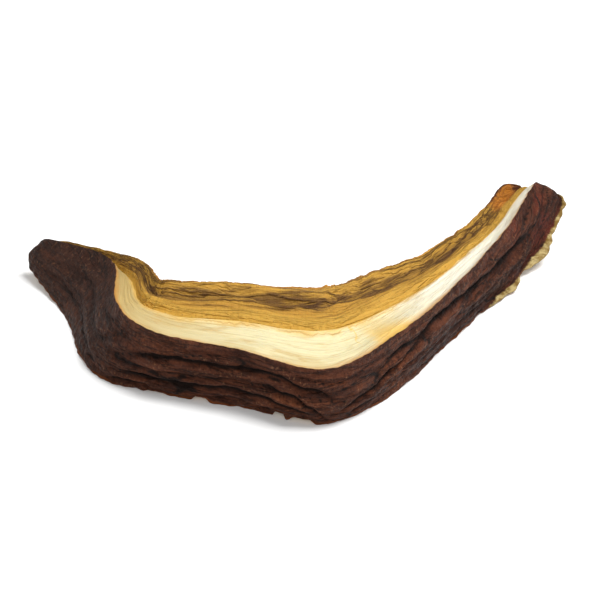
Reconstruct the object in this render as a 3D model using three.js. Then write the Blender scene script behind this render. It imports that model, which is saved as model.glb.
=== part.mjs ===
// A dried slice of a porcini cap. It is one piece of mushroom: a crescent cut across the cap, with the brown cap skin
// as its outer wall, the pale flesh behind it and the layer of tubes along the inner side, all grown together.
// The slice lies on its lower cut face. X runs from the left tip to the right tip, Y from the front of the bend to the
// tips, and Z up. The origin is below the middle of the slice, on the surface that it lies on. Millimetres.
import * as THREE from "three";
import { mergeVertices } from "three/addons/utils/BufferGeometryUtils.js";

// Sizes that can be changed by themselves.
const span = 63.8; // foot of the skin from the left tip to the right tip, along X
const reach = 39.6; // foot of the skin from the front of the bend to the right tip, along Y
const thickness = 7; // height of the skin band, from the lower cut face to the upper one
const fleshWidth = 10; // widest flesh, from the skin to the tubes, at the front of the bend
const tubeLength = 7; // longest tubes, measured across the slice
const flare = 5.8; // how far the foot of the skin stands out past its top edge at the left arm
const curl = 4.8; // how high the right tip has curled up off the surface
const fleshSink = 1.7; // how far the dried flesh has sunk below the edge of the skin
const tubeRise = 1.4; // how far the tubes stand up again behind the sunken flesh
const underArch = 0.9; // hollow of the lower cut face
const footWidth = 1.5; // flat strip on which the skin side and the tube side each rest
const skinBulge = 0.7; // how far the skin stands proud of a straight line from its foot to its top edge
const foldDepth = 0.4; // depth of the long folds in the skin
const foldCount = 2; // folds between the foot of the skin and its top edge
const mouthBulge = 0.4; // how far the tube mouths stand proud in the middle of the slice's height
const tipRound = 1.9; // length over which each tip is rounded off
const tipBlunt = 0.5; // share of its section that the slice still has at the very tip

// Mesh steps along the slice, across it and from one cut face to the other.
const alongSteps = 80;
const acrossSteps = 12;
const upSteps = 8;
const tipCrowding = 0.4; // how much closer together the steps are near the tips

// The sections of the slice from the left tip to the right tip. across, back and lift place the foot of the skin as
// shares of span, reach and curl. inward is the direction in plan from the skin towards the tubes, in degrees from +X.
// flesh, tubes, tall and flare are shares of the sizes above.
const sections = [
  { across: -0.5, back: 0.768, lift: 0.3, inward: 2, flesh: 0.08, tubes: 0.17, tall: 0.46, flare: 0.34 },
  { across: -0.42, back: 0.545, lift: 0, inward: 17, flesh: 0.11, tubes: 0.29, tall: 0.88, flare: 1 },
  { across: -0.359, back: 0.255, lift: 0, inward: 47, flesh: 0.36, tubes: 0.44, tall: 1, flare: 0.74 },
  { across: -0.257, back: 0.151, lift: 0, inward: 73, flesh: 0.65, tubes: 0.62, tall: 1.04, flare: 0.2 },
  { across: -0.105, back: 0.081, lift: 0, inward: 86, flesh: 0.84, tubes: 0.82, tall: 1.01, flare: 0.03 },
  { across: 0.053, back: 0, lift: 0, inward: 94, flesh: 1, tubes: 1, tall: 0.99, flare: 0.03 },
  { across: 0.18, back: 0.185, lift: 0, inward: 115, flesh: 0.66, tubes: 0.82, tall: 0.96, flare: 0.05 },
  { across: 0.302, back: 0.486, lift: 0, inward: 137, flesh: 0.38, tubes: 0.45, tall: 0.9, flare: 0.1 },
  { across: 0.417, back: 0.768, lift: 0.2, inward: 162, flesh: 0.22, tubes: 0.31, tall: 0.78, flare: 0.35 },
  { across: 0.5, back: 1, lift: 1, inward: 190, flesh: 0.14, tubes: 0.36, tall: 0.4, flare: 0.63 },
];

// Smooth lines through the sections' values, all read at the same place u along the slice, from 0 to 1.
function lineThrough(valuesOf) {
  const points = sections.map((section) => new THREE.Vector3(...valuesOf(section)));
  return new THREE.CatmullRomCurve3(points, false, "catmullrom", 0.5);
}
const footLine = lineThrough((s) => [s.across * span, s.back * reach, s.lift * curl]);
const widthLine = lineThrough((s) => [s.flare * flare, s.flesh * fleshWidth, s.tubes * tubeLength]);
const poseLine = lineThrough((s) => [s.inward, s.tall * thickness, 0]);
const footLength = footLine.getLength();

// Long folds in the skin, which wander up and down on their way and fade out at both cut faces.
function foldDip(u, t) {
  const wander = 0.35 * Math.sin(2 * Math.PI * u);
  const wave = 0.5 - 0.5 * Math.cos(2 * Math.PI * (foldCount * t + wander));
  return foldDepth * wave * Math.sin(Math.PI * t);
}

// A point of the slice before its tips are rounded. u runs along it, layer is 0 at the skin, 1 where the flesh meets
// the tubes and 2 at the tube mouths, and t is 0 on the lower cut face and 1 on the upper one.
function pointAt(u, layer, t) {
  const foot = footLine.getPoint(u);
  const [flared, flesh, tubes] = widthLine.getPoint(u);
  const [inwardAngle, tall] = poseLine.getPoint(u);
  const intoFlesh = Math.min(layer, 1);
  const intoTubes = Math.max(layer - 1, 0);
  const total = flared + flesh + tubes;

  const lowInward = (total * layer) / 2;
  const topInward = flared + intoFlesh * flesh + intoTubes * tubes;
  const skinOut = (skinBulge * Math.sin(Math.PI * t) - foldDip(u, t)) * (1 - intoFlesh);
  const mouthOut = mouthBulge * Math.sin(Math.PI * t) * intoTubes;
  const inward = THREE.MathUtils.lerp(lowInward, topInward, t) - skinOut + mouthOut;

  const sunk = fleshSink * Math.sin((Math.PI / 2) * intoFlesh) - tubeRise * intoTubes;
  const top = tall - (sunk * tall) / thickness;
  const flatShare = Math.sin(Math.PI * Math.min(0.5, footWidth / total));
  const archShare = Math.max(0, Math.sin((Math.PI * layer) / 2) - flatShare);
  const height = THREE.MathUtils.lerp(underArch * archShare, top, t);

  const direction = THREE.MathUtils.degToRad(inwardAngle);
  return new THREE.Vector3(
    foot.x + Math.cos(direction) * inward,
    foot.y + Math.sin(direction) * inward,
    Math.max(0, foot.z) + height,
  );
}

// A point of the finished slice: near each tip it is drawn in towards the middle of its own section.
function roundedPointAt(u, layer, t) {
  const fromTip = Math.min(1, (Math.min(u, 1 - u) * footLength) / tipRound);
  const kept = THREE.MathUtils.lerp(tipBlunt, 1, Math.sqrt(1 - (1 - fromTip) ** 2));
  return pointAt(u, 1, 0.5).lerp(pointAt(u, layer, t), kept);
}

// A box with one segment for each mesh step, closed into one body and bent into the slice.
function sliceGeometry() {
  const box = new THREE.BoxGeometry(1, 2, 1, alongSteps, acrossSteps, upSteps);
  box.deleteAttribute("normal");
  box.deleteAttribute("uv");
  const geometry = mergeVertices(box);
  const places = geometry.getAttribute("position");
  for (let i = 0; i < places.count; i++) {
    const along = places.getX(i) + 0.5;
    const u = THREE.MathUtils.lerp(along, THREE.MathUtils.smoothstep(along, 0, 1), tipCrowding);
    const point = roundedPointAt(u, places.getY(i) + 1, places.getZ(i) + 0.5);
    places.setXYZ(i, point.x, point.y, point.z);
  }
  return geometry;
}

// Puts the middle of the slice's bounding box over the origin and its foot at height zero.
function centred(geometry) {
  geometry.computeBoundingBox();
  const { min, max } = geometry.boundingBox;
  geometry.translate(-(min.x + max.x) / 2, -(min.y + max.y) / 2, -min.z);
  geometry.computeVertexNormals();
  return geometry;
}

const driedMushroom = new THREE.MeshStandardMaterial({ color: 0x8a6238, roughness: 0.8, metalness: 0 });
const slice = new THREE.Mesh(centred(sliceGeometry()), driedMushroom);
slice.name = "porcini_slice";

const part = new THREE.Group();
part.add(slice);
export default part;
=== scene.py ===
import math

import bmesh
import bpy
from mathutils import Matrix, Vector, noise


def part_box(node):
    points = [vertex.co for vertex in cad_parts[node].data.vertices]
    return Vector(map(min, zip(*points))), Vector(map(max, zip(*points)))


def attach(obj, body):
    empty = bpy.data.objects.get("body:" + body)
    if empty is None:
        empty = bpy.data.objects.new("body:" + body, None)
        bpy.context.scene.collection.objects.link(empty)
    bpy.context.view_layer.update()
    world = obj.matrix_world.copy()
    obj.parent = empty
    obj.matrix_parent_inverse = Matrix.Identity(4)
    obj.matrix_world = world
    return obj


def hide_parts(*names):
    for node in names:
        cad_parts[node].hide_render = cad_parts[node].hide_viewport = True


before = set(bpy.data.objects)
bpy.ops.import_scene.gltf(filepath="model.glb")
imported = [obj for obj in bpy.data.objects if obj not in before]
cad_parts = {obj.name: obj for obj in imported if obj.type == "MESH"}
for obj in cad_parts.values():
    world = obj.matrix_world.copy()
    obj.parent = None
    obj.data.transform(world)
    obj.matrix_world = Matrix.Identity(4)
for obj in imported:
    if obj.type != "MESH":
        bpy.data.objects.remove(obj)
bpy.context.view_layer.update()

sliceLow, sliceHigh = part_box("porcini_slice")
mm = 0.001

# shape of the slice, in millimetres, before it is fitted to the frame

sliceShape = {
    "span": 63.8, "reach": 39.6, "thickness": 7.0,
    "fleshWidth": 10.0, "tubeLength": 7.0, "flare": 5.8, "curl": 4.8,
    "fleshSink": 1.7, "tubeRise": 1.4, "underArch": 0.9, "footWidth": 1.5,
    "skinBulge": 0.7, "mouthBulge": 0.4, "tipRound": 1.9, "tipBlunt": 0.5,
    "fleshLane": 7.5, "tubeLane": 5.5,
    "sideBlend": 1.2, "faceBlend": 0.9,
    "alongSteps": 576, "acrossSteps": 42, "upSteps": 38,
    "alongCrowd": 0.4, "acrossCrowd": 0.6, "upCrowd": 0.3,
}

# across, back and lift place the foot of the skin, as shares of span, reach and curl;
# inward is the plan direction from skin to tubes, in degrees from +X;
# flesh, tubes, tall and flare are shares of fleshWidth, tubeLength, thickness and flare
sections = [
    dict(across=-0.5, back=0.768, lift=0.3, inward=2, flesh=0.08, tubes=0.17, tall=0.46, flare=0.34),
    dict(across=-0.42, back=0.545, lift=0, inward=17, flesh=0.11, tubes=0.29, tall=0.88, flare=1),
    dict(across=-0.359, back=0.255, lift=0, inward=47, flesh=0.36, tubes=0.44, tall=1, flare=0.74),
    dict(across=-0.257, back=0.151, lift=0, inward=73, flesh=0.65, tubes=0.62, tall=1.04, flare=0.2),
    dict(across=-0.105, back=0.081, lift=0, inward=86, flesh=0.84, tubes=0.82, tall=1.01, flare=0.03),
    dict(across=0.053, back=0, lift=0, inward=94, flesh=1, tubes=1, tall=0.99, flare=0.03),
    dict(across=0.18, back=0.185, lift=0, inward=115, flesh=0.66, tubes=0.82, tall=0.96, flare=0.05),
    dict(across=0.302, back=0.486, lift=0, inward=137, flesh=0.38, tubes=0.45, tall=0.9, flare=0.1),
    dict(across=0.417, back=0.768, lift=0.2, inward=162, flesh=0.22, tubes=0.31, tall=0.78, flare=0.35),
    dict(across=0.5, back=1, lift=1, inward=190, flesh=0.14, tubes=0.36, tall=0.4, flare=0.63),
]

# long folds in the skin: places along the slice and up the band, depth and half width in mm
skinFolds = [
    dict(path=[(0.27, 0.22), (0.33, 0.27), (0.4, 0.3), (0.45, 0.36), (0.5, 0.3), (0.56, 0.18)],
         depth=0.65, width=0.36),
    dict(path=[(0.26, 0.07), (0.29, 0.1), (0.345, 0.12)], depth=0.4, width=0.3),
    dict(path=[(0.29, 0.5), (0.36, 0.68), (0.43, 0.73), (0.49, 0.79), (0.53, 0.66), (0.58, 0.42)],
         depth=0.5, width=0.34),
    dict(path=[(0.28, 0.36), (0.34, 0.44), (0.4, 0.48), (0.46, 0.54), (0.51, 0.48), (0.55, 0.3)],
         depth=0.22, width=0.26),
    dict(path=[(0.47, 0.58), (0.51, 0.5), (0.53, 0.34), (0.555, 0.12)], depth=0.5, width=0.34),
    dict(path=[(0.4, 0.1), (0.45, 0.16), (0.5, 0.1)], depth=0.2, width=0.26),
    dict(path=[(0.56, 0.2), (0.6, 0.36), (0.65, 0.54), (0.7, 0.68)], depth=0.6, width=0.38),
    dict(path=[(0.57, 0.1), (0.62, 0.2), (0.68, 0.32)], depth=0.28, width=0.3),
    dict(path=[(0.6, 0.56), (0.66, 0.74), (0.73, 0.75), (0.8, 0.68), (0.87, 0.6), (0.94, 0.5)],
         depth=0.7, width=0.5),
    dict(path=[(0.68, 0.34), (0.74, 0.32), (0.82, 0.24), (0.9, 0.2)], depth=0.26, width=0.34),
    dict(path=[(0.02, 0.66), (0.12, 0.6), (0.2, 0.54), (0.27, 0.5), (0.33, 0.46)], depth=0.2, width=0.5),
    dict(path=[(0.02, 0.36), (0.1, 0.34), (0.18, 0.28), (0.25, 0.17)], depth=0.2, width=0.5),
]

# folds along the tube layer: places along the slice and across the tubes, depth and half width in mm
tubeFolds = [
    dict(path=[(0.08, 0.5), (0.3, 0.6), (0.45, 0.66), (0.55, 0.6), (0.68, 0.68), (0.85, 0.6), (0.97, 0.5)],
         depth=0.8, width=0.6),
    dict(path=[(0.4, 0.42), (0.5, 0.36), (0.6, 0.4), (0.72, 0.42), (0.8, 0.36)], depth=0.35, width=0.5),
]

# places where the lower edge of the skin is torn away: half width and height in mm
footTears = [
    dict(place=0.36, width=1.1, tall=0.5),
    dict(place=0.45, width=0.8, tall=0.7),
    dict(place=0.475, width=1.7, tall=0.6),
    dict(place=0.31, width=1.6, tall=0.2),
    dict(place=0.74, width=1.4, tall=0.25),
    dict(place=0.2, width=1.2, tall=0.2),
]


def lineThrough(names, scales):
    return [Vector([section[name] * scale for name, scale in zip(names, scales)]) for section in sections]


footLine = lineThrough(("across", "back", "lift"),
                       (sliceShape["span"], sliceShape["reach"], sliceShape["curl"]))
widthLine = lineThrough(("flare", "flesh", "tubes"),
                        (sliceShape["flare"], sliceShape["fleshWidth"], sliceShape["tubeLength"]))
poseLine = lineThrough(("inward", "tall"), (1, sliceShape["thickness"]))


def pointOn(line, u):  # smooth line through the sections, read at u from 0 to 1
    place = min(max(u, 0), 1) * (len(line) - 1)
    start = min(int(place), len(line) - 2)
    w = place - start
    second, third = line[start], line[start + 1]
    first = line[start - 1] if start > 0 else 2 * second - third
    fourth = line[start + 2] if start + 2 < len(line) else 2 * third - second
    return 0.5 * (2 * second + (third - first) * w + (2 * first - 5 * second + 4 * third - fourth) * w ** 2
                  + (3 * second - first - 3 * third + fourth) * w ** 3)


def smoothStep(low, high, value):
    share = min(max((value - low) / (high - low), 0), 1)
    return share * share * (3 - 2 * share)


def mix(a, b, share):
    return a + (b - a) * share


def bell(distance, width):
    return math.exp(-(distance / width) ** 2)


def uneven(first, second, seed):  # a smooth random height from about -1 to 1 at two places
    return noise.noise(Vector((first, second, seed)))


class Section:  # what the slice measures at one place along it
    def __init__(self, u):
        self.u = u
        self.foot = pointOn(footLine, u)
        self.flare, self.flesh, self.tubes = pointOn(widthLine, u)
        inward, self.tall = pointOn(poseLine, u)
        self.total = self.flare + self.flesh + self.tubes
        self.inward = Vector((math.cos(math.radians(inward)), math.sin(math.radians(inward)), 0))
        self.along = 0  # distance from the left tip, filled in below

    def across(self, layer, t):  # distance from the foot of the skin, in plan
        intoFlesh, intoTubes = min(layer, 1), max(layer - 1, 0)
        low = self.total * layer / 2
        top = self.flare + intoFlesh * self.flesh + intoTubes * self.tubes
        skinOut = sliceShape["skinBulge"] * math.sin(math.pi * t) * (1 - intoFlesh)
        mouthOut = sliceShape["mouthBulge"] * math.sin(math.pi * t) * intoTubes
        return mix(low, top, t) - skinOut + mouthOut

    def lane(self, layer):  # distance across, on a slice as wide as this one is on average
        return sliceShape["fleshLane"] * min(layer, 1) + sliceShape["tubeLane"] * max(layer - 1, 0)

    def height(self, layer, t):
        intoFlesh, intoTubes = min(layer, 1), max(layer - 1, 0)
        sunk = sliceShape["fleshSink"] * math.sin(math.pi / 2 * intoFlesh)
        sunk -= sliceShape["tubeRise"] * intoTubes
        top = self.tall * (1 - sunk / sliceShape["thickness"])
        flatShare = math.sin(math.pi * min(0.5, sliceShape["footWidth"] / self.total))
        arch = sliceShape["underArch"] * max(0, math.sin(math.pi / 2 * layer) - flatShare)
        return mix(arch, top, t)

    def point(self, layer, t):
        place = self.foot + self.inward * self.across(layer, t)
        return Vector((place.x, place.y, max(0, self.foot.z) + self.height(layer, t)))


def pathAt(path, u):  # height of a fold at u, and how much of it is left there
    if not path[0][0] <= u <= path[-1][0]:
        return 0, 0
    for (u0, t0), (u1, t1) in zip(path, path[1:]):
        if u <= u1:
            break
    fade = 0.2 * (path[-1][0] - path[0][0])
    left = smoothStep(path[0][0], path[0][0] + fade, u) * (1 - smoothStep(path[-1][0] - fade, path[-1][0], u))
    return mix(t0, t1, smoothStep(u0, u1, u)), left


def foldsAt(folds, u):
    found = []
    for fold in folds:
        t, left = pathAt(fold["path"], u)
        if left > 0:
            found.append((t, left * fold["depth"], fold["width"]))
    return found


def dip(gap, width):  # a fold's section: a wide valley with a sharp bottom
    return 0.6 * bell(gap, width) + 0.4 * bell(gap, 0.45 * width)


# how far each kind of wrinkle stands out of the skin, in mm; level is taken off, so the band keeps its place
skinWrinkles = {"long": 0.7, "middle": 0.36, "fine": 0.24, "level": 0.34, "grain": 0.12}


def skinRelief(section, t, s, h):  # how far the skin stands out, and how deep in a crease it is
    out, crease = 0, 0
    for foldAt, depth, width in section.skinFolds:
        wander = 0.3 * uneven(s * 0.35, foldAt * 9, 4.2)
        gap = (t - foldAt) * section.tall - wander
        out += 0.3 * depth * bell(abs(gap) - 2 * width, width) - depth * dip(gap, width)
        crease = max(crease, min(1, 1.9 * depth) * bell(gap, 0.17))
    calm = (0.25 + 0.75 * smoothStep(1, 0.8, t)) * mix(0.35, 1, smoothStep(0.1, 0.27, section.u))
    bend = 0.8 * uneven(s * 0.12, h * 0.2, 6.1)
    long = abs(uneven(s * 0.075, h * 0.55 + bend, 3.1))
    middle = abs(uneven(s * 0.19, h * 1.25 + bend, 8.4))
    fine = abs(uneven(s * 0.5, h * 2.5 + bend, 1.7))
    grain = uneven(s * 1.5, h * 2.0, 6.3)
    crease = max(crease, calm * smoothStep(0.035, 0, long), 0.45 * calm * smoothStep(0.05, 0, middle))
    out += calm * (skinWrinkles["long"] * long + skinWrinkles["middle"] * middle
                   + skinWrinkles["fine"] * fine - skinWrinkles["level"])
    return out + skinWrinkles["grain"] * grain, crease


# relief of the cut faces, in mm
cutShape = {
    "edgeRoll": 0.2, "edgeDip": 0.12, "wave": 0.3, "wrinkle": 0.34, "thinWrinkle": 0.1,
    "borderRidge": 0.14, "borderGroove": 0.34, "tubeRidge": 0.5, "tubeRipple": 0.06,
    "mouthWave": 0.2, "mouthDrop": 0.2, "tipLip": 0.04, "tipCup": 1.2, "tipFrom": 0.94, "lowerShare": 0.6,
}


def cutRelief(section, layer, s, q, side):  # how far a cut face stands up, and how deep in a crease it is
    d = q - section.flesh  # distance past the border, into the tubes
    lane = section.lane(layer)
    up, crease = 0, 0
    up += cutShape["edgeRoll"] * bell(q, 0.4) - cutShape["edgeDip"] * bell(q - 1.1, 0.6)
    up += cutShape["wave"] * uneven(s * 0.11, lane * 0.22, 5.5 + side)
    wrinkle = abs(uneven(s * 0.09, lane * 0.55, 9.1 + side))
    thin = abs(uneven(s * 0.3, lane * 1.2, 1.1 + side))
    up += cutShape["wrinkle"] * min(wrinkle, 0.25) + cutShape["thinWrinkle"] * min(thin, 0.2)
    up += cutShape["borderRidge"] * bell(d + 0.6, 0.45) - cutShape["borderGroove"] * bell(d - 0.15, 0.3)
    intoTubes = smoothStep(-0.1, 0.35, d)
    if intoTubes > 0:
        share = d / section.tubes
        for foldAt, depth, width in section.tubeFolds:
            wander = 0.4 * uneven(s * 0.22, foldAt * 7, 2.2 + side)
            gap = d - foldAt * section.tubes - wander
            up += intoTubes * depth * (0.3 * bell(abs(gap) - 2 * width, width) - bell(gap, width))
            crease = max(crease, intoTubes * depth * bell(gap, 0.7 * width))
        bend = 0.5 * uneven(s * 0.15, lane * 0.3, 6.1 + side)
        grain = abs(uneven(s * 0.05, lane * 0.75 + bend, 5.7 + side))
        middle = smoothStep(0.2, 0.45, share) * smoothStep(0.97, 0.8, share)
        ripple = uneven(s * 1.6, lane * 0.4, 2.7 + side)
        up += intoTubes * (cutShape["tubeRidge"] * min(grain, 0.3) * middle + cutShape["tubeRipple"] * ripple)
        up += cutShape["mouthWave"] * uneven(s * 0.7, 3.3, side) * smoothStep(0.75, 1, share)
        up -= cutShape["mouthDrop"] * smoothStep(0.93, 1, share)
        cup = math.sin(math.pi * min(1, max(0, (share - 0.22) / 0.7)))
        lip = bell(share - 0.97, 0.06)
        atTip = smoothStep(cutShape["tipFrom"], cutShape["tipFrom"] + 0.03, section.u)
        up += (cutShape["tipLip"] * lip - cutShape["tipCup"] * cup) * atTip
    return up, crease


# tube mouths: pits for each mm and their width as a share of that, their depth and the slow wave in mm
mouthShape = {"perMm": 1.5, "width": 0.45, "depth": 0.5, "wave": 0.22}


def mouthRelief(s, h):  # how far the side with the tube mouths stands out, and how deep in a pit it is
    distances, _ = noise.voronoi(Vector((s * mouthShape["perMm"], h * mouthShape["perMm"], 0.4)))
    pit = max(0, mouthShape["width"] - distances[0])
    wave = uneven(s * 0.25, h * 0.5, 4.9)
    return mouthShape["wave"] * wave - mouthShape["depth"] * pit, min(1, 2 * pit)


def footTear(section, s):  # how much of the lower edge of the skin is torn away
    slow = uneven(s * 0.7, 1.5, 2.5)
    quick = uneven(s * 2.3, 4.5, 2.5)
    height = 0.1 * max(0, slow) + 0.06 * max(0, quick)
    for tear in footTears:
        away = abs(s - tear["place"] * section.length)
        height += tear["tall"] * smoothStep(tear["width"], 0.5 * tear["width"], away)
    return height


# pale flesh below the skin of the right arm: places along the slice, reach in mm, share of the height
frill = {"start": 0.785, "full": 0.86, "thinFrom": 0.965, "thin": 0.5, "reach": 1.2, "tall": 0.09}


def frillAt(section, s, t):
    along = smoothStep(frill["start"], frill["full"], section.u)
    along *= mix(1, frill["thin"], smoothStep(frill["thinFrom"], 1, section.u))
    slow = uneven(s * 0.3, 7.7, 1.2)
    quick = uneven(s * 0.9, 2.7, 1.2)
    wave = 1 + 0.8 * slow + 0.25 * quick
    return along * smoothStep(frill["tall"], 0.02, t) * max(0.1, wave)


def crowd(v, lobes, share):  # moves evenly spaced steps closer together at both ends of each lobe
    return v - share * math.sin(2 * math.pi * lobes * v) / (2 * math.pi * lobes)


def makeBlock():  # a cube with a grid of edges on every side
    block = bmesh.new()
    bmesh.ops.create_cube(block, size=1)
    for axis, steps in enumerate(("alongSteps", "acrossSteps", "upSteps")):
        runs = [e for e in block.edges if abs((e.verts[0].co - e.verts[1].co)[axis]) > 0.9]
        bmesh.ops.subdivide_edges(block, edges=runs, cuts=sliceShape[steps] - 1, use_grid_fill=True)
    return block


def sectionTable():  # one section for each step along the slice
    steps = sliceShape["alongSteps"]
    table = []
    for i in range(steps + 1):
        even = i / steps
        section = Section(mix(even, smoothStep(0, 1, even), sliceShape["alongCrowd"]))
        if table:
            section.along = table[-1].along + (section.foot - table[-1].foot).length
        section.skinFolds = foldsAt(skinFolds, section.u)
        section.tubeFolds = foldsAt(tubeFolds, section.u)
        table.append(section)
    for section in table:
        section.length = table[-1].along
        fromTip = min(1, min(section.along, section.length - section.along) / sliceShape["tipRound"])
        section.kept = mix(sliceShape["tipBlunt"], 1, math.sqrt(1 - (1 - fromTip) ** 2))
    return table


def surfaceAt(section, layer, t):  # one point of the surface, with its crease, ridge and frill
    s = section.along
    q = section.across(layer, t) - section.flare * t
    h = t * section.tall
    sideBlend, faceBlend = sliceShape["sideBlend"], sliceShape["faceBlend"]
    fromSkin = smoothStep(sideBlend, 0, section.across(layer, t) - section.across(0, t))
    fromMouth = smoothStep(sideBlend, 0, section.across(2, t) - section.across(layer, t))
    fromTop = smoothStep(faceBlend, 0, section.height(layer, 1) - section.height(layer, t))
    fromLow = smoothStep(faceBlend, 0, section.height(layer, t) - section.height(layer, 0))
    point = section.point(layer, t)
    crease, ridge, frilled = 0, 0, 0
    if fromSkin > 0:
        out, deep = skinRelief(section, t, s, h)
        crease += deep * fromSkin * (1 - fromTop)
        point -= section.inward * out * fromSkin
        ridge = out * fromSkin
        frilled = frillAt(section, s, t) * fromSkin
        point -= section.inward * frill["reach"] * frilled
        point.z += footTear(section, s) * fromSkin * fromLow
    if fromMouth > 0:
        out, deep = mouthRelief(s, h)
        point += section.inward * out * fromMouth
        crease += deep * fromMouth * (1 - fromTop)
    if fromTop > 0:
        up, deep = cutRelief(section, layer, s, q, 0)
        point.z += up * fromTop
        crease += deep * fromTop
    if fromLow > 0:
        up, deep = cutRelief(section, layer, s, q, 20)
        amid = smoothStep(0, 1.5, q) * smoothStep(0, 1.5, section.total - q)
        point.z -= cutShape["lowerShare"] * (up - 0.5) * fromLow * amid
        crease += deep * fromLow
    point = section.point(1, 0.5).lerp(point, section.kept)
    point.z = max(point.z, 0)
    return point, crease, ridge, frilled


def fitToFrame(block):  # moves the shape over its place in the frame, and turns millimetres into metres
    low = Vector([min(v.co[i] for v in block.verts) for i in range(3)])
    high = Vector([max(v.co[i] for v in block.verts) for i in range(3)])
    print("made box", low[:], high[:], "frame", sliceLow[:], sliceHigh[:])
    shift = Vector(((sliceLow.x + sliceHigh.x) / 2 / mm - (low.x + high.x) / 2,
                    (sliceLow.y + sliceHigh.y) / 2 / mm - (low.y + high.y) / 2,
                    sliceLow.z / mm - low.z))
    for vert in block.verts:
        vert.co = (vert.co + shift) * mm


def makeSlice():
    block = makeBlock()
    table = sectionTable()
    print("sections", len(table), "length", round(table[-1].length, 1), "verts", len(block.verts))
    layerOf = block.verts.layers.float.new("layer")
    heightOf = block.verts.layers.float.new("height")
    creaseOf = block.verts.layers.float.new("crease")
    ridgeOf = block.verts.layers.float.new("ridge")
    frillOf = block.verts.layers.float.new("frill")
    grownOf = block.verts.layers.float_vector.new("grown")
    for vert in block.verts:
        section = table[round((vert.co.x + 0.5) * sliceShape["alongSteps"])]
        layer = 2 * crowd(vert.co.y + 0.5, 2, sliceShape["acrossCrowd"])
        t = crowd(vert.co.z + 0.5, 1, sliceShape["upCrowd"])
        vert.co, vert[creaseOf], vert[ridgeOf], vert[frillOf] = surfaceAt(section, layer, t)
        vert[layerOf] = layer
        vert[heightOf] = t
        vert[grownOf] = Vector((section.along, section.lane(layer), t * section.tall))
    fitToFrame(block)
    bmesh.ops.recalc_face_normals(block, faces=block.faces)
    mesh = bpy.data.meshes.new("porciniSlice")
    block.to_mesh(mesh)
    block.free()
    mesh.polygons.foreach_set("use_smooth", [True] * len(mesh.polygons))
    capSlice = bpy.data.objects.new("porcini_cap_slice", mesh)
    bpy.context.scene.collection.objects.link(capSlice)
    return capSlice


# a wrapped socket that takes part in sums
class Value:
    def __init__(self, recipe, socket):
        self.recipe, self.socket = recipe, socket

    def maths(self, operation, first, second):
        return self.recipe.node("ShaderNodeMath", {"operation": operation}, {0: first, 1: second})

    def __add__(self, other):
        return self.maths("ADD", self, other)

    def __radd__(self, other):
        return self.maths("ADD", other, self)

    def __sub__(self, other):
        return self.maths("SUBTRACT", self, other)

    def __rsub__(self, other):
        return self.maths("SUBTRACT", other, self)

    def __mul__(self, other):
        return self.maths("MULTIPLY", self, other)

    def __rmul__(self, other):
        return self.maths("MULTIPLY", other, self)

    def __abs__(self):
        return self.maths("ABSOLUTE", self, 0)

    def between(self, low, high):  # 0 below low and 1 above high, smoothly
        return self.recipe.node("ShaderNodeMapRange", {"interpolation_type": "SMOOTHSTEP"},
                                {"Value": self, "From Min": low, "From Max": high})


# one material, with one method that adds every other node
class Recipe:
    def __init__(self, name):
        self.material = bpy.data.materials.new(name)
        self.material.use_nodes = True
        self.tree = self.material.node_tree
        self.shader = self.tree.nodes["Principled BSDF"]

    def node(self, kind, settings, inputs, output=0):
        made = self.tree.nodes.new(kind)
        for name, value in settings.items():
            setattr(made, name, value)
        for name, value in inputs.items():
            self.feed(made.inputs[name], value)
        return Value(self, made.outputs[output])

    def feed(self, socket, value):
        if isinstance(value, Value):
            self.tree.links.new(value.socket, socket)
        else:
            socket.default_value = value

    def attribute(self, name, output="Fac"):
        return self.node("ShaderNodeAttribute", {"attribute_name": name}, {}, output)

    def stretch(self, place, scale):
        return self.node("ShaderNodeVectorMath", {"operation": "MULTIPLY"}, {0: place, 1: scale})

    def noise(self, place, scale, detail=3, roughness=0.5, distortion=0.0):
        return self.node("ShaderNodeTexNoise", {}, {"Vector": place, "Scale": scale, "Detail": detail,
                                                    "Roughness": roughness, "Distortion": distortion})

    def lines(self, place, detail, width, scale=1.0):  # thin wavy lines: 1 on a line, 0 away from it
        return abs(self.noise(place, scale, detail, 0.5) - 0.5).between(width, 0)

    def mix(self, a, b, share):
        return self.node("ShaderNodeMix", {"data_type": "RGBA"}, {0: share, 6: a, 7: b}, 2)

    def bump(self, height, distance):
        inputs = {"Height": height, "Distance": distance, "Strength": 1.0}
        return self.node("ShaderNodeBump", {}, inputs)

    def finish(self, varying, constants):
        for name, value in {**varying, **constants}.items():
            self.feed(self.shader.inputs[name], value)
        return self.material


def srgb(r, g, b):  # a colour as a paint chart gives it, made linear
    def linear(c):
        return c / 12.92 if c <= 0.04045 else ((c + 0.055) / 1.055) ** 2.4
    return (linear(r / 255), linear(g / 255), linear(b / 255), 1)


# finishes; each pair of numbers is where a colour starts and where it is full, in mm from the left tip
skinLook = {
    "black": srgb(18, 7, 3), "dark": srgb(54, 23, 11), "chestnut": srgb(92, 50, 32),
    "rustAndHighlight": srgb(128, 72, 44), "ridgeGlint": srgb(152, 106, 74), "leftShade": srgb(54, 33, 24),
    "rim": srgb(180, 98, 38), "wine": srgb(96, 34, 24), "pale": srgb(190, 168, 114),
    "olive": srgb(126, 98, 46),
    "leftShadeEnds": (20, 32), "lowShade": (60, 70), "wineFrom": (82, 92),
    "bump": 0.26 * mm, "specular": 0.16,
}


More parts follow.
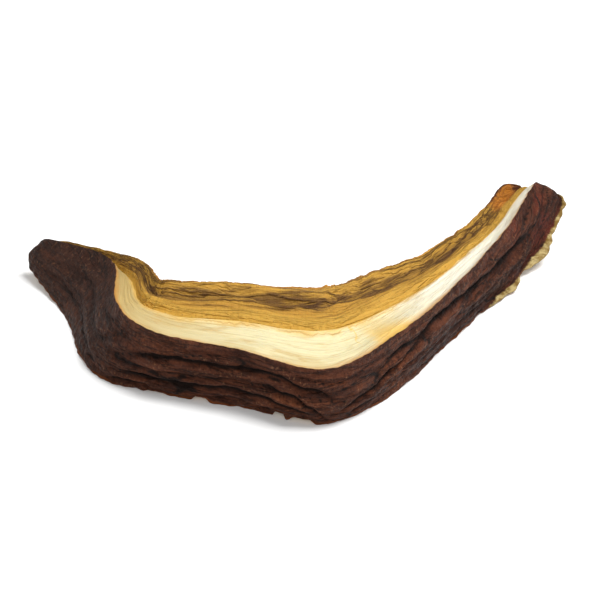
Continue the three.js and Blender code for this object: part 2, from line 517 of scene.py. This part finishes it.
def skinRecipe():
    r = Recipe("capSkin")
    grown = r.attribute("grown", "Vector")
    ridge = r.attribute("ridge")
    height = r.attribute("height")
    along = r.node("ShaderNodeSeparateXYZ", {}, {0: grown}, 0)
    blotch = r.noise(r.stretch(grown, (0.35, 1, 1)), 0.4, 3, 0.6)
    streak = r.noise(r.stretch(grown, (0.22, 1, 1.4)), 1.1, 6, 0.75)
    speckle = r.noise(grown, 1.9, 4, 0.7)
    fleck = r.noise(grown, 3.2, 3, 0.65)
    creases = r.lines(r.stretch(grown, (0.12, 1, 1.2)), 3, 0.05)
    hairs = r.lines(r.stretch(grown, (0.4, 1, 2.0)), 3, 0.06, 1.3)
    colour = r.mix(skinLook["dark"], skinLook["chestnut"], streak.between(0.36, 0.6))
    colour = r.mix(colour, skinLook["rustAndHighlight"], blotch.between(0.46, 0.7) * speckle.between(0.38, 0.6) * 0.7)
    # painted highlight: the raised ridges of the skin are made lighter rust brown
    colour = r.mix(colour, skinLook["rustAndHighlight"], (ridge + (speckle - 0.5) * 0.5).between(0.05, 0.5) * 0.5)
    # painted shade: the skin is darker, with streaks, towards the left tip
    leftSide = 1 - along.between(*skinLook["leftShadeEnds"])
    colour = r.mix(colour, skinLook["leftShade"], leftSide * (0.4 + 0.5 * streak.between(0.35, 0.65)))
    low = along.between(*skinLook["lowShade"]) * height.between(0.62, 0.4)
    colour = r.mix(colour, skinLook["dark"], low * 0.65)
    rightTip = along.between(*skinLook["wineFrom"])
    colour = r.mix(colour, skinLook["wine"], rightTip * blotch.between(0.48, 0.6) * 0.5)
    # painted shade: black laid into the crease lines, the fine lines, the low hollows between ridges and the
    # deep folds
    colour = r.mix(colour, skinLook["black"], creases * streak.between(0.35, 0.55) * 0.7)
    colour = r.mix(colour, skinLook["black"], hairs * 0.2)
    colour = r.mix(colour, skinLook["black"], (ridge + (streak - 0.5) * 0.3).between(-0.12, -0.7) * 0.85)
    colour = r.mix(colour, skinLook["black"], r.attribute("crease").between(0.1, 0.7) * 0.9)
    # painted highlight: pale glints on the raised ridges of the skin
    colour = r.mix(colour, skinLook["ridgeGlint"], fleck.between(0.55, 0.68) * ridge.between(-0.2, 0.2) * 0.6)
    colour = r.mix(colour, skinLook["black"], fleck.between(0.43, 0.3) * 0.75)
    colour = r.mix(colour, skinLook["rim"], (height + (blotch - 0.5) * 0.1).between(0.05, 0.0) * 0.35)
    shade = r.noise(r.stretch(grown, (1, 1, 3)), 0.9, 4, 0.65).between(0.4, 0.62)
    pale = r.mix(skinLook["olive"], skinLook["pale"], shade)
    colour = r.mix(colour, pale, (r.attribute("frill") + (speckle - 0.5) * 0.5).between(0.2, 0.4))
    leather = r.noise(r.stretch(grown, (0.7, 1, 1)), 2.0, 6, 0.7).between(0.28, 0.72)
    pebbles = r.node("ShaderNodeTexVoronoi", {"feature": "SMOOTH_F1"},
                     {"Vector": r.stretch(grown, (0.7, 1, 1)), "Scale": 2.4})
    bumped = r.bump(leather - pebbles * 0.9 - creases * 0.7 - hairs * 0.25, skinLook["bump"])
    return r.finish(
        {"Base Color": colour, "Roughness": 0.42 + 0.3 * leather, "Normal": bumped},
        {"Specular IOR Level": skinLook["specular"]},
    )


cutLook = {
    "cream": srgb(212, 202, 160), "white": srgb(232, 228, 212), "straw": srgb(178, 150, 86),
    "fibre": srgb(184, 146, 82), "amber": srgb(190, 128, 44), "yellow": srgb(222, 178, 80),
    "skin": srgb(64, 34, 24),
    "gold": srgb(192, 148, 58), "mustard": srgb(174, 128, 44), "olive": srgb(152, 112, 38),
    "ridge": srgb(188, 142, 54), "umber": srgb(70, 40, 12), "brown": srgb(84, 42, 16),
    "orange": srgb(184, 110, 26),
    "whiteFrom": (58, 76), "strawAndShadeEnds": (20, 46), "calmFrom": (60, 76), "stainFrom": (57, 60),
    "stainEnds": (66, 62), "veinFrom": (50, 52), "veinEnds": (59, 56), "tipFrom": (92.5, 94.5),
    "endFrom": (100.4, 101),
    "bump": 0.18 * mm, "specular": 0.3, "glow": 0.12, "glowReach": 0.4 * mm,
}


def cutRecipe():
    r = Recipe("cutFace")
    grown = r.attribute("grown", "Vector")
    layer = r.attribute("layer")
    crease = r.attribute("crease").between(0.3, 0.85)
    along = r.node("ShaderNodeSeparateXYZ", {}, {0: grown}, 0)
    drift = r.noise(r.stretch(grown, (0.12, 0.3, 1)), 1, 3, 0.55).between(0.3, 0.7)
    fine = r.noise(grown, 5, 4, 0.7)
    fibres = r.noise(r.stretch(grown, (0.25, 2.2, 1)), 1.3, 5, 0.66)
    wrinkles = r.lines(r.stretch(grown, (0.07, 0.8, 1)), 4, 0.03)
    threads = r.lines(r.stretch(grown, (0.12, 1.9, 1)), 4, 0.05)
    wide = r.noise(r.stretch(grown, (0.35, 0, 0)), 1, 4, 0.6) - 0.5
    fleshLines = drift.between(0.1, 0.7) * (1 - 0.6 * along.between(*cutLook["calmFrom"]))
    white = along.between(*cutLook["whiteFrom"]) * (0.7 + 0.3 * drift)
    flesh = r.mix(cutLook["cream"], cutLook["white"], white)
    # partly the flesh's own straw tone, partly painted shade: darker and yellower towards the left tip
    flesh = r.mix(flesh, cutLook["straw"], (1 - along.between(*cutLook["strawAndShadeEnds"])) * 0.85)
    flesh = r.mix(flesh, cutLook["straw"], drift.between(0.55, 0.9) * 0.3)
    flesh = r.mix(flesh, cutLook["fibre"], wrinkles * fleshLines * 0.45)
    flesh = r.mix(flesh, cutLook["fibre"], threads * fleshLines * 0.2)
    ragged = (fine - 0.5) * 0.1 + (drift - 0.5) * 0.14
    rim = (layer + ragged).between(0.26, 0.0)
    flesh = r.mix(flesh, cutLook["amber"], rim * 0.8)
    stainAt = along + ragged * 20
    stain = stainAt.between(*cutLook["stainFrom"]) * stainAt.between(*cutLook["stainEnds"])
    flesh = r.mix(flesh, cutLook["yellow"], stain * (layer + ragged).between(1.1, 0.2) * 0.8)
    veinAt = along.between(*cutLook["veinFrom"]) * along.between(*cutLook["veinEnds"])
    vein = r.lines(r.stretch(grown, (0.16, 0.1, 1)), 4, 0.02) * veinAt
    flesh = r.mix(flesh, cutLook["yellow"], vein * layer.between(0.35, 0.6) * 0.7)
    flesh = r.mix(flesh, cutLook["yellow"], (layer + ragged * 0.6 + wide * 0.2).between(0.8, 0.98) * 0.6)
    border = abs(layer + wide * 0.3 + (fibres - 0.5) * 0.05 - 0.9).between(0.022, 0.0)
    flesh = r.mix(flesh, cutLook["fibre"], border * drift.between(0.2, 0.6) * 0.8)
    flesh = r.mix(flesh, cutLook["skin"], (layer + (fine - 0.5) * 0.05).between(0.03, 0.0))
    striae = r.noise(r.stretch(grown, (2.6, 0.3, 1)), 1.1, 4, 0.7).between(0.3, 0.7)
    bands = r.noise(r.stretch(grown, (0.07, 1.3, 1)), 1.0, 5, 0.66, 0.4).between(0.3, 0.7)
    cracks = r.lines(r.stretch(grown, (0.045, 0.8, 1)), 4, 0.055)
    splits = r.lines(r.stretch(grown, (0.05, 1.3, 5)), 3, 0.06, 1.1)
    into = layer + (bands - 0.5) * 0.2
    tubes = r.mix(cutLook["gold"], cutLook["mustard"], into.between(1.1, 1.4))
    tubes = r.mix(tubes, cutLook["olive"], into.between(1.35, 1.55))
    tubes = r.mix(tubes, cutLook["ridge"], into.between(1.62, 1.8))
    tubes = r.mix(tubes, cutLook["umber"], striae * 0.08)
    tubes = r.mix(tubes, cutLook["umber"], bands.between(0.5, 0.95) * into.between(1.2, 1.45) * 0.22)
    tubes = r.mix(tubes, cutLook["umber"], cracks * into.between(1.2, 1.4) * 0.75)
    tubes = r.mix(tubes, cutLook["umber"], splits * into.between(1.35, 1.5) * into.between(1.85, 1.7) * 0.8)
    tubes = r.mix(tubes, cutLook["umber"], threads * into.between(1.15, 1.4) * 0.3)
    # painted shade: umber in the folds of the tube layer, darkest where the folds are deepest
    tubes = r.mix(tubes, cutLook["umber"], crease * (0.25 + 0.4 * bands))
    tubes = r.mix(tubes, cutLook["brown"], r.noise(grown, 3.5, 2, 0.5).between(0.68, 0.74) * 0.5)
    # painted highlight: orange along the outer edge of the tube layer
    tubes = r.mix(tubes, cutLook["orange"], layer.between(1.88, 1.99) * 0.5)
    tip = (along + (fine - 0.5) * 3).between(*cutLook["tipFrom"]) * (layer + ragged).between(1.3, 1.5)
    tubes = r.mix(tubes, cutLook["orange"], tip * 0.8)
    tubes = r.mix(tubes, cutLook["brown"], tip * (layer + (fine - 0.5) * 0.2).between(1.84, 1.93))
    tubes = r.mix(tubes, cutLook["brown"], tip * (along + (fine - 0.5) * 2).between(*cutLook["endFrom"]))
    intoTubes = (layer + wide * 0.22 + (fibres - 0.5) * 0.06).between(0.98, 1.02)
    colour = r.mix(flesh, tubes, intoTubes)
    furrows = wrinkles * 0.3 + threads * 0.18 + (cracks + splits * 0.7) * intoTubes
    relief = fibres * 0.6 + fine * 0.3 + striae * intoTubes * 0.15 - furrows
    bumped = r.bump(relief, cutLook["bump"])
    return r.finish(
        {"Base Color": colour, "Roughness": 0.6 + 0.25 * fine, "Normal": bumped},
        {"Specular IOR Level": cutLook["specular"], "Subsurface Weight": cutLook["glow"],
         "Subsurface Scale": cutLook["glowReach"], "Subsurface Radius": (1.0, 0.6, 0.25)},
    )


mouthLook = {
    "olive": srgb(150, 112, 36), "mustard": srgb(184, 142, 56), "umber": srgb(74, 45, 16),
    "tip": srgb(84, 42, 16), "tipFrom": (97.5, 101), "bump": 0.2 * mm, "specular": 0.3,
}


def mouthRecipe():
    r = Recipe("tubeMouths")
    grown = r.attribute("grown", "Vector")
    crease = r.attribute("crease").between(0.0, 0.9)
    drift = r.noise(grown, 0.35, 4, 0.6).between(0.3, 0.7)
    pores = r.node("ShaderNodeTexVoronoi", {}, {"Vector": grown, "Scale": 2.6})
    pit = 1 - pores.between(0.1, 0.42)
    fine = r.noise(grown, 6, 4, 0.7)
    colour = r.mix(mouthLook["olive"], mouthLook["mustard"], drift)
    # painted shade: umber in the pores and in the deep pits of the tube mouths
    colour = r.mix(colour, mouthLook["umber"], pit * 0.75)
    colour = r.mix(colour, mouthLook["umber"], crease * 0.6)
    along = r.node("ShaderNodeSeparateXYZ", {}, {0: grown}, 0)
    colour = r.mix(colour, mouthLook["tip"], (along + (fine - 0.5) * 2).between(*mouthLook["tipFrom"]))
    bumped = r.bump(fine * 0.3 - pit, mouthLook["bump"])
    return r.finish({"Base Color": colour, "Roughness": 0.68 + 0.2 * fine, "Normal": bumped},
                    {"Specular IOR Level": mouthLook["specular"]})


def finishFor(layer, height):  # 0 for cap skin, 1 for the cut faces, 2 for the tube mouths
    if min(height, 1 - height) < 1e-6:
        return 1
    if layer < 1e-6:
        return 0
    return 2 if layer > 2 - 1e-6 else 1


def dress(capSlice):
    mesh = capSlice.data
    for material in (skinRecipe(), cutRecipe(), mouthRecipe()):
        mesh.materials.append(material)
    layers = mesh.attributes["layer"].data
    heights = mesh.attributes["height"].data
    for polygon in mesh.polygons:
        corners = len(polygon.vertices)
        layer = sum(layers[v].value for v in polygon.vertices) / corners
        height = sum(heights[v].value for v in polygon.vertices) / corners
        polygon.material_index = finishFor(layer, height)


capSlice = makeSlice()
dress(capSlice)
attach(capSlice, "root")
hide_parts("porcini_slice")
print("slice made")

# floor, light and camera, in metres
stage = {
    "floorSize": 3.0, "floorColour": (0.86, 0.86, 0.855, 1), "floorRoughness": 0.9, "floorSpecular": 0.1,
    "roomLight": 0.42,
}


def makeFloor():
    floor = bmesh.new()
    bmesh.ops.create_grid(floor, x_segments=2, y_segments=2, size=stage["floorSize"] / 2)
    mesh = bpy.data.meshes.new("floor")
    floor.to_mesh(mesh)
    floor.free()
    made = bpy.data.objects.new("floor", mesh)
    bpy.context.scene.collection.objects.link(made)
    paper = Recipe("palePaper").finish({}, {
        "Base Color": stage["floorColour"],
        "Roughness": stage["floorRoughness"],
        "Specular IOR Level": stage["floorSpecular"],
    })
    mesh.materials.append(paper)


def aim(obj, target):
    obj.rotation_euler = (target - obj.location).to_track_quat("-Z", "Y").to_euler()


lamps = [
    dict(name="key", place=(0.22, 0.04, 0.48), size=0.28, power=3.6),
    dict(name="fill", place=(-0.05, -0.5, 0.3), size=0.35, power=1.4),
]


def makeLights(middle):
    for lamp in lamps:
        data = bpy.data.lights.new(lamp["name"], "AREA")
        data.size, data.energy = lamp["size"], lamp["power"]
        made = bpy.data.objects.new(lamp["name"], data)
        made.location = lamp["place"]
        aim(made, middle)
        bpy.context.scene.collection.objects.link(made)
    world = bpy.data.worlds.new("room")
    world.use_nodes = True
    world.node_tree.nodes["Background"].inputs["Color"].default_value = (1, 1, 1, 1)
    world.node_tree.nodes["Background"].inputs["Strength"].default_value = stage["roomLight"]
    bpy.context.scene.world = world


view = {"elevation": 33.0, "distance": 0.298, "lens": 160.0, "sensor": 36, "nearest": 0.01}


def makeCamera(middle):
    data = bpy.data.cameras.new("camera")
    data.lens, data.sensor_width = view["lens"], view["sensor"]
    data.clip_start = view["nearest"]
    camera = bpy.data.objects.new("camera", data)
    rise = math.radians(view["elevation"])
    camera.location = middle + view["distance"] * Vector((0, -math.cos(rise), math.sin(rise)))
    aim(camera, middle)
    bpy.context.scene.collection.objects.link(camera)
    bpy.context.scene.camera = camera


middle = Vector((0.0, -0.001, 0.004))  # what the lamps and the camera point at
makeFloor()
makeLights(middle)
makeCamera(middle)
bpy.context.scene.view_settings.view_transform = "Standard"
print("stage set")
